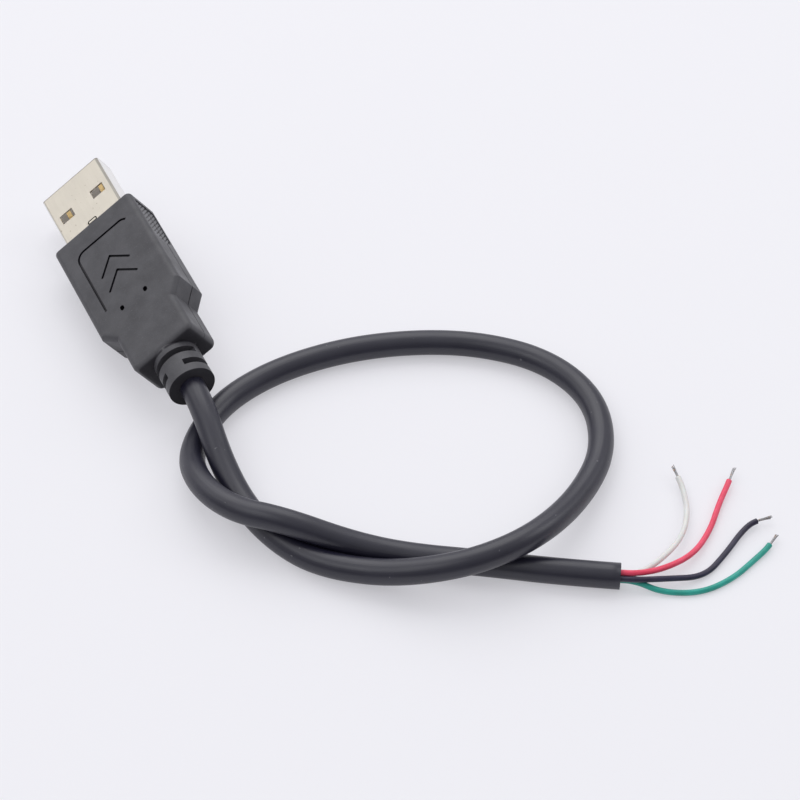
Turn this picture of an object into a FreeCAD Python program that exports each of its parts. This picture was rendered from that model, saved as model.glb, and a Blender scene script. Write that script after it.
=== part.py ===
import FreeCAD, Part
import math
import os
import Sketcher

Vector = FreeCAD.Vector

# Driving dimensions in millimetres (degrees where the name says so).
# The plug's own frame: x across its width, y towards its mouth, z up through
# its marked face, with y = 0 on the front face of the overmould.
SIZES = [
    ("shell_width", 12.0, "steel shell, outside width"),
    ("shell_height", 4.5, "steel shell, outside height"),
    ("shell_wall", 0.3, "thickness of the folded sheet"),
    ("shell_corner", 0.5, "outside radius of the shell's folds"),
    ("shell_reach", 12.5, "shell in front of the overmould"),
    ("shell_tail", 6.0, "shell gripped by the mouldings"),
    ("shell_seam", 0.08, "gap where the folded edges meet underneath"),
    ("window_width", 2.6, "latch window, across the plug"),
    ("window_length", 1.9, "latch window, along the plug"),
    ("window_offset", 3.3, "latch window, centre from the middle"),
    ("window_setback", 5.25, "latch window, front edge from the mouth"),
    ("dimple_length", 1.9, "pressed oval, across the plug"),
    ("dimple_width", 0.8, "pressed oval, along the plug"),
    ("dimple_line", 0.22, "pressed oval, width of its line"),
    ("dimple_depth", 0.2, "pressed oval, depth in the sheet"),
    ("dimple_setback", 10.7, "pressed oval, centre from the mouth"),
    ("slip_fit", 0.05, "clearance of the insulators in the shell"),
    ("mouth_height", 1.95, "free height over the tongue"),
    ("tongue_setback", 0.4, "tongue behind the mouth"),
    ("shelf_length", 8.65, "tongue's tail behind the overmould's face"),
    ("retainer_front", 2.0, "contact retainer, front end"),
    ("retainer_gap", 1.1, "contact retainer, in front of the solder joints"),
    ("contact_width", 0.8, "contact strip width"),
    ("contact_thickness", 0.25, "contact strip thickness"),
    ("contact_fit", 0.02, "clearance of a contact in its channel"),
    ("contact_inner", 1.0, "data contacts, from the middle"),
    ("contact_outer", 3.5, "power contacts, from the middle"),
    ("contact_setback", 1.3, "contacts behind the mouth"),
    ("contact_inset", 0.05, "contacts, back end before the tongue's"),
    ("contact_nose", 0.18, "bevel on the front edge of a contact"),
    ("solder_width", 0.76, "solder joint, width"),
    ("solder_length", 1.5, "solder joint, length"),
    ("solder_height", 0.8, "solder joint, height over the contact"),
    ("solder_dome", 0.33, "solder joint, radius of its upper edges"),
    ("solder_inset", 0.55, "solder joint, back end before the tongue's"),
    ("inner_width", 13.0, "inner moulding, width"),
    ("inner_height", 5.9, "inner moulding, height"),
    ("inner_front", 2.0, "inner moulding, front end behind the face"),
    ("inner_back", 20.5, "inner moulding, back end behind the face"),
    ("inner_edge", 0.5, "inner moulding, edge radius"),
    ("body_width", 16.2, "overmould, width of the grip"),
    ("body_height", 7.9, "overmould, height"),
    ("grip_length", 21.2, "overmould, length at full width"),
    ("step_length", 2.4, "overmould, length of the slanted step"),
    ("neck_width", 11.8, "overmould, width behind the step"),
    ("neck_corner", 1.2, "radius of the neck's back corners"),
    ("body_length", 31.3, "overmould, length without the relief"),
    ("body_edge", 0.95, "radius of the long and back edges"),
    ("face_edge", 0.4, "radius of the front face's edges"),
    ("relief_diameter", 7.6, "strain relief, diameter"),
    ("relief_length", 6.4, "strain relief, length"),
    ("relief_core", 5.2, "strain relief, diameter in its slots"),
    ("relief_slot", 1.15, "strain relief, width of a slot"),
    ("relief_flange", 1.1, "first slot from the overmould's back face"),
    ("relief_ring", 1.5, "ring between the two rows of slots"),
    ("first_slot_degrees", 150.0, "turn of each slot in the first row"),
    ("second_slot_degrees", 128.0, "turn of each slot in the second row"),
    ("groove_width", 0.42, "engraved line, width"),
    ("groove_depth", 0.35, "engraved line, depth"),
    ("panel_left", 4.95, "panel line, left side from the middle"),
    ("panel_right", 4.2, "panel line, right end from the middle"),
    ("panel_front", 4.0, "panel line, behind the front face"),
    ("panel_back", 17.3, "panel line, back end behind the front face"),
    ("panel_corner", 1.6, "panel line, corner radius"),
    ("panel_hook_degrees", 48.0, "panel line, turn of its free right end"),
    ("chevron_half", 2.8, "chevron, half its width"),
    ("chevron_rise", 2.7, "chevron, length along the plug"),
    ("chevron_front", 8.6, "first chevron's point behind the face"),
    ("chevron_pitch", 3.4, "spacing of the two chevrons"),
    ("pin_hole", 0.75, "core pin mark, diameter"),
    ("pin_hole_run", 0.25, "core pin mark, added length"),
    ("pin_hole_depth", 0.7, "core pin mark, depth"),
    ("pin_hole_offset", 2.4, "core pin mark, from the middle"),
    ("pin_hole_back", 19.1, "core pin mark, behind the front face"),
    ("recess_front", 1.2, "side recess, front end behind the face"),
    ("recess_back", 10.6, "side recess, round back end behind the face"),
    ("recess_height", 5.6, "side recess, height"),
    ("recess_depth", 0.15, "side recess, depth"),
    ("rib_pitch", 0.6, "finger ribs in the recess, spacing"),
    ("rib_groove", 0.2, "finger ribs, groove width"),
    ("rib_depth", 0.1, "finger ribs, groove depth"),
    ("rib_degrees", 45.0, "finger ribs, slope"),
    ("parting_drop", 0.5, "mould parting line below the middle"),
    ("parting_width", 0.2, "mould parting line, width"),
    ("parting_depth", 0.15, "mould parting line, depth"),
    ("cord_diameter", 4.0, "jacket, outside diameter"),
    ("jacket_bore", 2.4, "jacket, inside diameter"),
    ("jacket_start", 18.5, "jacket's hidden end behind the face"),
    ("wire_diameter", 0.9, "wire insulation, outside diameter"),
    ("strand_diameter", 0.4, "bundle of copper strands"),
    ("bundle_radius", 0.66, "wires in the jacket, from its middle"),
    ("wire_gap", 0.05, "wire insulation's hidden end behind the tongue"),
    ("strand_inset", 0.3, "strands' hidden end behind the solder's front"),
    ("wire_lead", 2.5, "straight wire past the cut end of the jacket"),
    ("roll_degrees", 32.0, "the plug lies rolled on its left lower edge"),
]

RUN_SHARE = 0.45

# The cord's route in the part's frame, from the strain relief to the cut end.
# It passes over, under and over itself in one loose loop. The first two
# points lie on the plug's axis and take their height from the plug.
CORD_LEAD_OUT = 29.0
CORD_POINTS = [
    (-1, -38.3, 4.1),
    (-0.8, -46.9, 2.3),
    (1.1, -54.6, 2),
    (4.5, -61, 2),
    (10.9, -66.9, 2.7),
    (17.3, -71.7, 5),
    (25.4, -74.6, 6.7),
    (35, -73.8, 6.6),
    (45.4, -67.8, 3.5),
    (53.8, -60, 2),
    (57.4, -50, 2),
    (54.6, -39.8, 2),
    (46.8, -31.8, 2),
    (36.6, -26.4, 2),
    (25.1, -23.3, 2),
    (13.2, -23.1, 2),
    (3.2, -26.2, 2),
    (-4.3, -33.3, 2.1),
    (-6, -41.8, 4.8),
    (-3.7, -49.4, 5.9),
    (2.1, -55.1, 6.6),
    (10.1, -60.9, 3.3),
    (17.2, -65.8, 2),
    (27.4, -72.2, 2),
    (35.9, -78, 2),
    (43.9, -82.8, 2),
]

# The free wires from the cut end, each with its last bend where the stripped
# strands begin.
WIRE_POINTS = {
    "red": [(50.5, -84.4, 2), (56.2, -83.3, 1.1), (61, -80, 0.6),
            (64.7, -76.2, 0.7), (68.1, -73.3, 1), (70.4, -71.2, 1.25)],
    "white": [(51, -82.6, 1.9), (55.9, -80.1, 1.5), (59.4, -76, 0.9),
              (61.1, -71.9, 0.8), (61.65, -69.2, 1.1), (61.8, -67, 1.4)],
    "black": [(50.2, -86.1, 1.75), (55.8, -87.3, 0.5), (60.8, -84.9, 0.6),
              (65.2, -82.3, 0.8), (68, -81.5, 1), (70.6, -82.2, 1.1)],
    "green": [(48.6, -87.1, 0.5), (53.8, -89.7, 0.45), (59.4, -89.4, 0.46),
              (64.2, -87.7, 0.5), (67.3, -86.6, 0.7), (69.6, -85.2, 1)],
}

# Wire colour, contact name, contact place (side and which pair), where the
# wire lies in the bundle, in degrees about the plug's axis from +x to +z, and
# how it turns into the bundle inside the inner moulding: each point's place
# across the plug in wire diameters and its distance before the jacket.
CIRCUITS = [
    ("red", "power", -1, "contact_outer", 52.8, [(-0.05, 1.95, 4.6)]),
    ("white", "data_minus", -1, "contact_inner", 322.8, [(0.3, 0.75, 4.6)]),
    ("green", "data_plus", 1, "contact_inner", 232.8, [(-0.25, -0.78, 4.6)]),
    ("black", "ground", 1, "contact_outer", 142.8,
     [(0.0, -1.95, 5.0), (-1.15, -1.8, 4.0), (-1.65, -0.55, 3.0), (-1.5, 0.4, 2.0)]),
]

# Straight stretches of a wire: behind its solder joint, and into the jacket.
SOLDER_LEAD = 3.4
JACKET_LEAD = 1.1


class Size:
    """A length that knows its value and the sheet formula behind it."""

    def __init__(self, value, text):
        self.value = value
        self.text = text

    def _join(self, other, sign, value):
        return Size(value, "(%s %s %s)" % (self.text, sign, as_size(other).text))

    def __add__(self, other):
        return self._join(other, "+", self.value + as_size(other).value)

    def __sub__(self, other):
        return self._join(other, "-", self.value - as_size(other).value)

    def __mul__(self, other):
        return self._join(other, "*", self.value * as_size(other).value)

    def __truediv__(self, other):
        return self._join(other, "/", self.value / as_size(other).value)

    def __neg__(self):
        return Size(-self.value, "(0 - %s)" % self.text)


def as_size(number):
    """Let a plain number stand in a formula."""
    if isinstance(number, Size):
        return number
    return Size(float(number), repr(float(number)))


class Sheet:
    """The driving dimensions, read as attributes by their alias."""

    def __init__(self, doc):
        self.cells = doc.addObject("Spreadsheet::Sheet", "Sizes")
        for row, (alias, value, note) in enumerate(SIZES, start=1):
            self.cells.set("A%d" % row, alias)
            self.cells.set("B%d" % row, repr(value))
            self.cells.set("C%d" % row, note)
            self.cells.setAlias("B%d" % row, alias)
            setattr(self, alias, Size(value, "Sizes.%s" % alias))
        doc.recompute()


def bind(item, prop, size):
    """Tie one property to the sheet."""
    item.setExpression(prop, as_size(size).text)


def origin_part(body, role):
    for part in body.Origin.OriginFeatures:
        if part.Role == role:
            return part
    raise ValueError("no origin part " + role)


def add_body(doc, name):
    return doc.addObject("PartDesign::Body", name)


def add_sketch(body, name, role, lift=0.0):
    """A sketch on one of the body's own planes, lifted along its normal."""
    sketch = body.newObject("Sketcher::SketchObject", name)
    sketch.AttachmentSupport = (origin_part(body, role), [""])
    sketch.MapMode = "FlatFace"
    bind(sketch, "AttachmentOffset.Base.z", lift)
    return sketch


def pin_point(sketch, geometry, point, x, y):
    """Tie one point of a sketch to the sheet, measured from the origin."""
    for kind, size in (("DistanceX", as_size(x)), ("DistanceY", as_size(y))):
        rule = Sketcher.Constraint(kind, -1, 1, geometry, point, size.value)
        index = sketch.addConstraint(rule)
        sketch.setExpression("Constraints[%d]" % index, size.text)


def add_outline(sketch, corners):
    """A closed outline of straight sides."""
    corners = [(as_size(x), as_size(y)) for x, y in corners]
    count = len(corners)
    first = sketch.GeometryCount
    for i in range(count):
        x, y = corners[i]
        next_x, next_y = corners[(i + 1) % count]
        start = Vector(x.value, y.value, 0)
        end = Vector(next_x.value, next_y.value, 0)
        sketch.addGeometry(Part.LineSegment(start, end), False)
    for i in range(count):
        after = first + (i + 1) % count
        sketch.addConstraint(Sketcher.Constraint("Coincident", first + i, 2, after, 1))
    for i in range(count):
        pin_point(sketch, first + i, 1, corners[i][0], corners[i][1])


def add_rectangle(sketch, x0, x1, y0, y1):
    add_outline(sketch, [(x0, y0), (x1, y0), (x1, y1), (x0, y1)])


def add_circle(sketch, x, y, radius):
    x, y, radius = as_size(x), as_size(y), as_size(radius)
    circle = Part.Circle(Vector(x.value, y.value, 0), Vector(0, 0, 1), radius.value)
    index = sketch.addGeometry(circle, False)
    pin_point(sketch, index, 3, x, y)
    rule = sketch.addConstraint(Sketcher.Constraint("Radius", index, radius.value))
    sketch.setExpression("Constraints[%d]" % rule, radius.text)


def add_oblong(sketch, x, y, length, width):
    """A slot outline along x with round ends."""
    x, y, length, width = as_size(x), as_size(y), as_size(length), as_size(width)
    radius = width / 2
    reach = (length - width) / 2
    up = Vector(0, 0, 1)
    left_centre = Vector((x - reach).value, y.value, 0)
    right_centre = Vector((x + reach).value, y.value, 0)
    lift = Vector(0, radius.value, 0)
    half = math.pi / 2
    left = sketch.addGeometry(
        Part.ArcOfCircle(Part.Circle(left_centre, up, radius.value), half, 3 * half), False)
    right = sketch.addGeometry(
        Part.ArcOfCircle(Part.Circle(right_centre, up, radius.value), -half, half), False)
    top = sketch.addGeometry(
        Part.LineSegment(left_centre + lift, right_centre + lift), False)
    bottom = sketch.addGeometry(
        Part.LineSegment(left_centre - lift, right_centre - lift), False)
    for arc, arc_end, line, line_end in ((left, 1, top, 1), (right, 2, top, 2),
                                         (left, 2, bottom, 1), (right, 1, bottom, 2)):
        sketch.addConstraint(Sketcher.Constraint("Tangent", arc, arc_end, line, line_end))
    pin_point(sketch, left, 3, x - reach, y)
    pin_point(sketch, right, 3, x + reach, y)
    rule = sketch.addConstraint(Sketcher.Constraint("Radius", left, radius.value))
    sketch.setExpression("Constraints[%d]" % rule, radius.text)


def pad(body, sketch, length, name):
    feature = body.newObject("PartDesign::Pad", name)
    feature.Profile = sketch
    bind(feature, "Length", length)
    sketch.Visibility = False
    body.Document.recompute()
    return feature


def pocket(body, sketch, name, length=None, reverse=False, both_ways=False):
    """Cut a sketch away, to a depth or through everything."""
    before = body.Tip.Shape.Volume
    feature = body.newObject("PartDesign::Pocket", name)
    feature.Profile = sketch
    feature.Reversed = reverse
    if both_ways:
        feature.SideType = "Symmetric"
    if length is None:
        feature.Type = "ThroughAll"
    else:
        bind(feature, "Length", length)
    body.Document.recompute()
    if feature.Shape.Volume > before - 1e-6:
        raise ValueError("pocket %s cuts nothing" % name)
    return feature


def fillet(body, base, radius, name, wanted):
    """Round the edges that the test picks out."""
    names = ["Edge%d" % (i + 1) for i, edge in enumerate(base.Shape.Edges) if wanted(edge)]
    feature = body.newObject("PartDesign::Fillet", name)
    feature.Base = (base, names)
    bind(feature, "Radius", radius)
    body.Document.recompute()
    return feature


def edge_runs_along(edge, axis):
    """True for a straight edge parallel to the axis."""
    if not isinstance(edge.Curve, (Part.Line, Part.LineSegment)):
        return False
    start, end = edge.Vertexes[0].Point, edge.Vertexes[-1].Point
    return abs((end - start).normalize().dot(axis)) > 0.999


def box(doc, name, x_range, y_range, z_range):
    """A plain block between the given ends, tied to the sheet."""
    item = doc.addObject("Part::Box", name)
    for prop, place, ends in (("Length", "x", x_range), ("Width", "y", y_range),
                              ("Height", "z", z_range)):
        low, high = as_size(ends[0]), as_size(ends[1])
        bind(item, prop, high - low)
        bind(item, "Placement.Base.%s" % place, low)
    return item


def make_shell(doc, sheet):
    """Folded steel shell with its windows, pressed oval and bottom seam."""
    body = add_body(doc, "plug_shell")
    half_width = sheet.shell_width / 2
    half_height = sheet.shell_height / 2
    length = sheet.shell_reach + sheet.shell_tail
    section = add_sketch(body, "shell_section", "XZ_Plane", -sheet.shell_reach)
    add_rectangle(section, -half_width, half_width, -half_height, half_height)
    tube = pad(body, section, length, "shell_block")
    along = Vector(0, 1, 0)
    fillet(body, tube, sheet.shell_corner, "shell_folds", lambda e: edge_runs_along(e, along))

    inside = add_sketch(body, "shell_bore", "XZ_Plane", -sheet.shell_reach)
    bore_x = half_width - sheet.shell_wall
    bore_z = half_height - sheet.shell_wall
    add_rectangle(inside, -bore_x, bore_x, -bore_z, bore_z)
    hollow = pocket(body, inside, "shell_hollow", length, reverse=True)

    def inner_fold(edge):
        centre = edge.CenterOfMass
        at_corner = abs(abs(centre.x) - bore_x.value) < 1e-4
        return edge_runs_along(edge, along) and at_corner and abs(centre.z) < half_height.value - 0.01

    fillet(body, hollow, sheet.shell_corner - sheet.shell_wall, "inner_folds", inner_fold)

    windows = add_sketch(body, "shell_windows", "XY_Plane")
    front = sheet.shell_reach - sheet.window_setback
    for side in (-1, 1):
        centre = sheet.window_offset * side
        add_rectangle(windows, centre - sheet.window_width / 2, centre + sheet.window_width / 2,
                      front - sheet.window_length, front)
    pocket(body, windows, "window_cuts", both_ways=True)

    seam = add_sketch(body, "shell_seam", "XY_Plane")
    half_seam = sheet.shell_seam / 2
    add_rectangle(seam, -half_seam, half_seam, -sheet.shell_tail, sheet.shell_reach)
    pocket(body, seam, "seam_cut", half_height, reverse=False)

    dimple = add_sketch(body, "shell_dimple", "XY_Plane", half_height)
    dimple_place = sheet.shell_reach - sheet.dimple_setback
    add_oblong(dimple, 0, dimple_place, sheet.dimple_length, sheet.dimple_width)
    add_oblong(dimple, 0, dimple_place, sheet.dimple_length - sheet.dimple_line * 2,
               sheet.dimple_width - sheet.dimple_line * 2)
    pocket(body, dimple, "dimple_press", sheet.dimple_depth)
    return body


def contact_places(sheet):
    """Each circuit's contact name and place across the plug."""
    return [(contact, getattr(sheet, pair) * side) for _, contact, side, pair, _, _ in CIRCUITS]


def make_insulator(doc, sheet):
    """Moulded tongue with a channel for each contact."""
    body = add_body(doc, "contact_insulator")
    half_width = sheet.shell_width / 2 - sheet.shell_wall - sheet.slip_fit
    floor = sheet.shell_wall + sheet.slip_fit - sheet.shell_height / 2
    front = sheet.shell_reach - sheet.tongue_setback
    section = add_sketch(body, "tongue_section", "XZ_Plane", -front)
    add_rectangle(section, -half_width, half_width, floor, tongue_top(sheet))
    block = pad(body, section, front + sheet.shelf_length, "tongue_block")
    along = Vector(0, 1, 0)

    def lower_edge(edge):
        return edge_runs_along(edge, along) and abs(edge.CenterOfMass.z - floor.value) < 1e-4

    fillet(body, block, sheet.shell_corner - sheet.shell_wall, "tongue_edges", lower_edge)
    channels = add_sketch(body, "tongue_channels", "XZ_Plane", -contact_front(sheet))
    half_channel = sheet.contact_width / 2 + sheet.contact_fit
    for _, place in contact_places(sheet):
        add_rectangle(channels, place - half_channel, place + half_channel,
                      tongue_top(sheet) - sheet.contact_thickness, tongue_top(sheet) + 1)
    pocket(body, channels, "channel_cuts", reverse=True)
    return body


def tongue_top(sheet):
    """Height of the tongue's face and of the contacts set flush in it."""
    return sheet.shell_height / 2 - sheet.shell_wall - sheet.mouth_height


def contact_front(sheet):
    return sheet.shell_reach - sheet.contact_setback


def solder_front(sheet):
    """Front end of the solder joints behind the overmould's face."""
    return sheet.shelf_length - sheet.solder_inset - sheet.solder_length


def strand_start(sheet):
    """Hidden end of the strands, inside the solder."""
    return solder_front(sheet) + sheet.strand_inset


def wire_start(sheet):
    """Hidden end of the wires' insulation, behind the tongue."""
    return sheet.shelf_length + sheet.wire_gap


def make_retainer(doc, sheet):
    """Block that locks the contacts down at the back of the mouth."""
    body = add_body(doc, "contact_retainer")
    half_width = sheet.shell_width / 2 - sheet.shell_wall - sheet.slip_fit
    roof = sheet.shell_height / 2 - sheet.shell_wall - sheet.slip_fit
    section = add_sketch(body, "retainer_section", "XZ_Plane", -sheet.retainer_front)
    add_rectangle(section, -half_width, half_width, tongue_top(sheet), roof)
    back = solder_front(sheet) - sheet.retainer_gap
    block = pad(body, section, sheet.retainer_front + back, "retainer_block")
    along = Vector(0, 1, 0)

    def upper_edge(edge):
        return edge_runs_along(edge, along) and abs(edge.CenterOfMass.z - roof.value) < 1e-4

    fillet(body, block, sheet.shell_corner - sheet.shell_wall, "retainer_edges", upper_edge)
    return body


def make_contact(doc, sheet, contact, place):
    """Flat strip from the mouth to its solder tail, with a bevelled nose."""
    body = add_body(doc, "contact_" + contact)
    top = tongue_top(sheet)
    bottom = top - sheet.contact_thickness
    front = contact_front(sheet)
    back = sheet.contact_inset - sheet.shelf_length
    profile = add_sketch(body, contact + "_profile", "YZ_Plane", place - sheet.contact_width / 2)
    add_outline(profile, [(back, bottom), (front, bottom),
                          (front, top - sheet.contact_nose),
                          (front - sheet.contact_nose * 2, top), (back, top)])
    pad(body, profile, sheet.contact_width, contact + "_strip")
    return body


def wire_height(sheet):
    """Height of a wire's axis where it lies on the tongue's tail."""
    return tongue_top(sheet) + sheet.wire_diameter / 2


def make_solder(doc, sheet, contact, place):
    """Domed joint over the strands on a contact's tail."""
    body = add_body(doc, "solder_" + contact)
    top = tongue_top(sheet)
    crown = top + sheet.solder_height
    half = sheet.solder_width / 2
    section = add_sketch(body, contact + "_joint_section", "XZ_Plane", solder_front(sheet))
    add_outline(section, [(place - half, top), (place + half, top),
                          (place + half, crown), (place - half, crown)])
    block = pad(body, section, sheet.solder_length, contact + "_joint_block")

    def upper_edge(edge):
        return edge.CenterOfMass.z > top.value + sheet.solder_height.value / 4

    fillet(body, block, sheet.solder_dome, contact + "_joint_dome", upper_edge)
    hole = add_sketch(body, contact + "_joint_hole", "XZ_Plane", strand_start(sheet))
    add_circle(hole, place, wire_height(sheet), sheet.strand_diameter / 2)
    pocket(body, hole, contact + "_joint_bore", sheet.solder_length, reverse=True)
    return body


def make_inner_block(doc, sheet):
    """Outer form of the inner moulding; the overmould's cavity is the same."""
    body = add_body(doc, "inner_block")
    half_width = sheet.inner_width / 2
    half_height = sheet.inner_height / 2
    section = add_sketch(body, "inner_section", "XZ_Plane", sheet.inner_front)
    add_rectangle(section, -half_width, half_width, -half_height, half_height)
    block = pad(body, section, sheet.inner_back - sheet.inner_front, "inner_pad")
    along = Vector(0, 1, 0)
    fillet(body, block, sheet.inner_edge, "inner_edges", lambda e: edge_runs_along(e, along))
    return body


def make_shell_plug(doc, sheet):
    """Solid as wide and high as the shell, to clear it from the mouldings."""
    body = add_body(doc, "shell_clearance")
    half_width = sheet.shell_width / 2
    half_height = sheet.shell_height / 2
    section = add_sketch(body, "clearance_section", "XZ_Plane", -sheet.shell_reach)
    add_rectangle(section, -half_width, half_width, -half_height, half_height)
    block = pad(body, section, sheet.shell_reach + sheet.shell_tail, "clearance_pad")
    along = Vector(0, 1, 0)
    fillet(body, block, sheet.shell_corner, "clearance_folds", lambda e: edge_runs_along(e, along))
    return body


def cord_hole(doc, sheet, name, start, end):
    """Cylinder as wide as the jacket along the plug's axis."""
    item = doc.addObject("Part::Cylinder", name)
    bind(item, "Radius", sheet.cord_diameter / 2)
    bind(item, "Height", end - start)
    item.Placement = FreeCAD.Placement(Vector(0, 0, 0), FreeCAD.Rotation(Vector(1, 0, 0), 90))
    bind(item, "Placement.Base.y", -start)
    return item


def make_overmould_body(doc, sheet):
    """Grip, slanted step, neck and slotted strain relief as one moulding."""
    body = add_body(doc, "overmould_outside")
    half_grip = sheet.body_width / 2
    half_neck = sheet.neck_width / 2
    half_height = sheet.body_height / 2
    step_end = sheet.grip_length + sheet.step_length
    plan = add_sketch(body, "overmould_plan", "XY_Plane", -half_height)
    add_outline(plan, [(-half_grip, 0), (-half_grip, -sheet.grip_length),
                       (-half_neck, -step_end), (-half_neck, -sheet.body_length),
                       (half_neck, -sheet.body_length), (half_neck, -step_end),
                       (half_grip, -sheet.grip_length), (half_grip, 0)])
    block = pad(body, plan, sheet.body_height, "overmould_block")

    def back_corner(edge):
        upright = edge_runs_along(edge, Vector(0, 0, 1))
        return upright and abs(edge.CenterOfMass.y + sheet.body_length.value) < 1e-4

    def front_edge(edge):
        return abs(edge.CenterOfMass.y) < 1e-4

    def rim_edge(edge):
        level = abs(abs(edge.CenterOfMass.z) - half_height.value) < 1e-4
        return level and not front_edge(edge)

    cornered = fillet(body, block, sheet.neck_corner, "back_corners", back_corner)
    rounded = fillet(body, cornered, sheet.body_edge, "rim_edges", rim_edge)
    fillet(body, rounded, sheet.face_edge, "face_edges", front_edge)

    root = add_sketch(body, "relief_section", "XZ_Plane", sheet.body_length - sheet.body_edge)
    add_circle(root, 0, 0, sheet.relief_diameter / 2)
    pad(body, root, sheet.relief_length + sheet.body_edge, "relief_cylinder")
    add_slot_rows(body, sheet)
    return body


def add_slot_rows(body, sheet):
    """Two rows of slots in the relief, the second turned by a quarter."""
    inner = sheet.relief_core / 2
    outer = sheet.relief_diameter / 2 + 1
    first = -(sheet.body_length + sheet.relief_flange)
    second = first - sheet.relief_slot - sheet.relief_ring
    rows = (("first", "YZ_Plane", first, "H_Axis", sheet.first_slot_degrees),
            ("second", "XY_Plane", second, "V_Axis", sheet.second_slot_degrees))
    for name, role, start, axis, turn in rows:
        sketch = add_sketch(body, name + "_slot_section", role)
        end = start - sheet.relief_slot
        if role == "YZ_Plane":
            add_rectangle(sketch, end, start, inner, outer)
        else:
            add_rectangle(sketch, inner, outer, end, start)
        before = body.Tip.Shape.Volume
        groove = body.newObject("PartDesign::Groove", name + "_slot")
        groove.Profile = sketch
        groove.ReferenceAxis = (sketch, [axis])
        groove.Midplane = True
        bind(groove, "Angle", turn)
        body.Document.recompute()
        pattern = body.newObject("PartDesign::PolarPattern", name + "_slots")
        pattern.Originals = [groove]
        pattern.Axis = (origin_part(body, "Y_Axis"), [""])
        pattern.Angle = 360
        pattern.Occurrences = 2
        body.Tip = pattern
        body.Document.recompute()
        if pattern.Shape.Volume > before - 1e-3:
            raise ValueError("slot row %s cuts nothing" % name)


def stroke(start, end, width, top, depth):
    """Engraved straight line with round ends, cut down from the top face."""
    direction = end - start
    length = direction.Length
    radius = width / 2
    base = Vector(0, 0, top - depth)
    bar = Part.makeBox(length, width, depth * 2, Vector(0, -radius, top - depth))
    caps = [Part.makeCylinder(radius, depth * 2, base),
            Part.makeCylinder(radius, depth * 2, base + Vector(length, 0, 0))]
    line = bar.fuse(caps).removeSplitter()
    turn = math.degrees(math.atan2(direction.y, direction.x))
    line.Placement = FreeCAD.Placement(Vector(start.x, start.y, 0),
                                       FreeCAD.Rotation(Vector(0, 0, 1), turn))
    return line


def bend(centre, radius, width, first_degrees, sweep_degrees, top, depth):
    """Engraved arc of the same section as a stroke."""
    base = Vector(0, 0, top - depth)
    up = Vector(0, 0, 1)
    outer = Part.makeCylinder(radius + width / 2, depth * 2, base, up, sweep_degrees)
    inner = Part.makeCylinder(radius - width / 2, depth * 2, base, up, 360)
    arc = outer.cut(inner)
    arc.Placement = FreeCAD.Placement(Vector(centre.x, centre.y, 0),
                                      FreeCAD.Rotation(up, first_degrees))
    return arc


def panel_line(sheet):
    """Open line round the front and left of the marked face."""
    width = sheet.groove_width.value
    depth = sheet.groove_depth.value
    top = sheet.body_height.value / 2
    left = -sheet.panel_left.value
    right = sheet.panel_right.value
    front = -sheet.panel_front.value
    back = -sheet.panel_back.value
    corner = sheet.panel_corner.value
    hook_degrees = sheet.panel_hook_degrees.value
    return [
        stroke(Vector(left + corner, front, 0), Vector(right, front, 0), width, top, depth),
        stroke(Vector(left, front - corner, 0), Vector(left, back, 0), width, top, depth),
        bend(Vector(left + corner, front - corner, 0), corner, width, 90, 90, top, depth),
        bend(Vector(right, front - corner, 0), corner, width, 90 - hook_degrees, hook_degrees,
             top, depth),
    ]


def chevrons(sheet):
    """Two plain chevrons that point to the mouth."""
    width = sheet.groove_width.value
    depth = sheet.groove_depth.value
    top = sheet.body_height.value / 2
    lines = []
    for i in range(2):
        point = Vector(0, -sheet.chevron_front.value - i * sheet.chevron_pitch.value, 0)
        for side in (-1, 1):
            foot = Vector(side * sheet.chevron_half.value, point.y - sheet.chevron_rise.value, 0)
            lines.append(stroke(point, foot, width, top, depth))
    return lines


def pin_marks(sheet):
    """Two short holes left by the mould's core pins."""
    holes = []
    run = Vector(0, sheet.pin_hole_run.value, 0)
    for side in (-1, 1):
        place = Vector(side * sheet.pin_hole_offset.value, -sheet.pin_hole_back.value, 0)
        holes.append(stroke(place - run / 2, place + run / 2, sheet.pin_hole.value,
                            sheet.body_height.value / 2, sheet.pin_hole_depth.value))
    return holes


def block_between(x_range, y_range, z_range):
    low = Vector(x_range[0], y_range[0], z_range[0])
    size = Vector(x_range[1], y_range[1], z_range[1]) - low
    return Part.makeBox(size.x, size.y, size.z, low)


def side_grips(sheet):
    """A flat recess with a round back end on each side, with sloping ribs."""
    half = sheet.body_width.value / 2
    front = -sheet.recess_front.value
    back = -sheet.recess_back.value
    radius = sheet.recess_height.value / 2
    floor = half - sheet.recess_depth.value
    base = floor - sheet.rib_depth.value
    width = sheet.rib_groove.value
    slope = sheet.rib_degrees.value
    step = sheet.rib_pitch.value / math.sin(math.radians(slope))
    count = int((front - back + 2 * radius) / step) + 1
    cuts = []
    for side in (-1, 1):
        inner, outer = sorted((side * floor, side * (half + 1)))
        deep, out = sorted((side * base, side * (half + 1)))
        middle = back + radius
        recess = block_between((inner, outer), (middle, front), (-radius, radius))
        end = Part.makeCylinder(radius, outer - inner, Vector(inner, middle, 0), Vector(1, 0, 0))
        outline = block_between((deep, out), (middle, front), (-radius, radius))
        outline_end = Part.makeCylinder(radius, out - deep, Vector(deep, middle, 0),
                                        Vector(1, 0, 0))
        outline = outline.fuse(outline_end)
        bars = []
        for i in range(count):
            place = Vector(0, front + radius - i * step, 0)
            bar = block_between((deep, out), (-width / 2, width / 2), (-4 * radius, 4 * radius))
            bar.rotate(Vector(0, 0, 0), Vector(1, 0, 0), 90 - slope)
            bar.translate(place)
            bars.append(bar)
        cuts += [recess.fuse(end), outline.common(Part.makeCompound(bars))]
    return cuts


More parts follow.
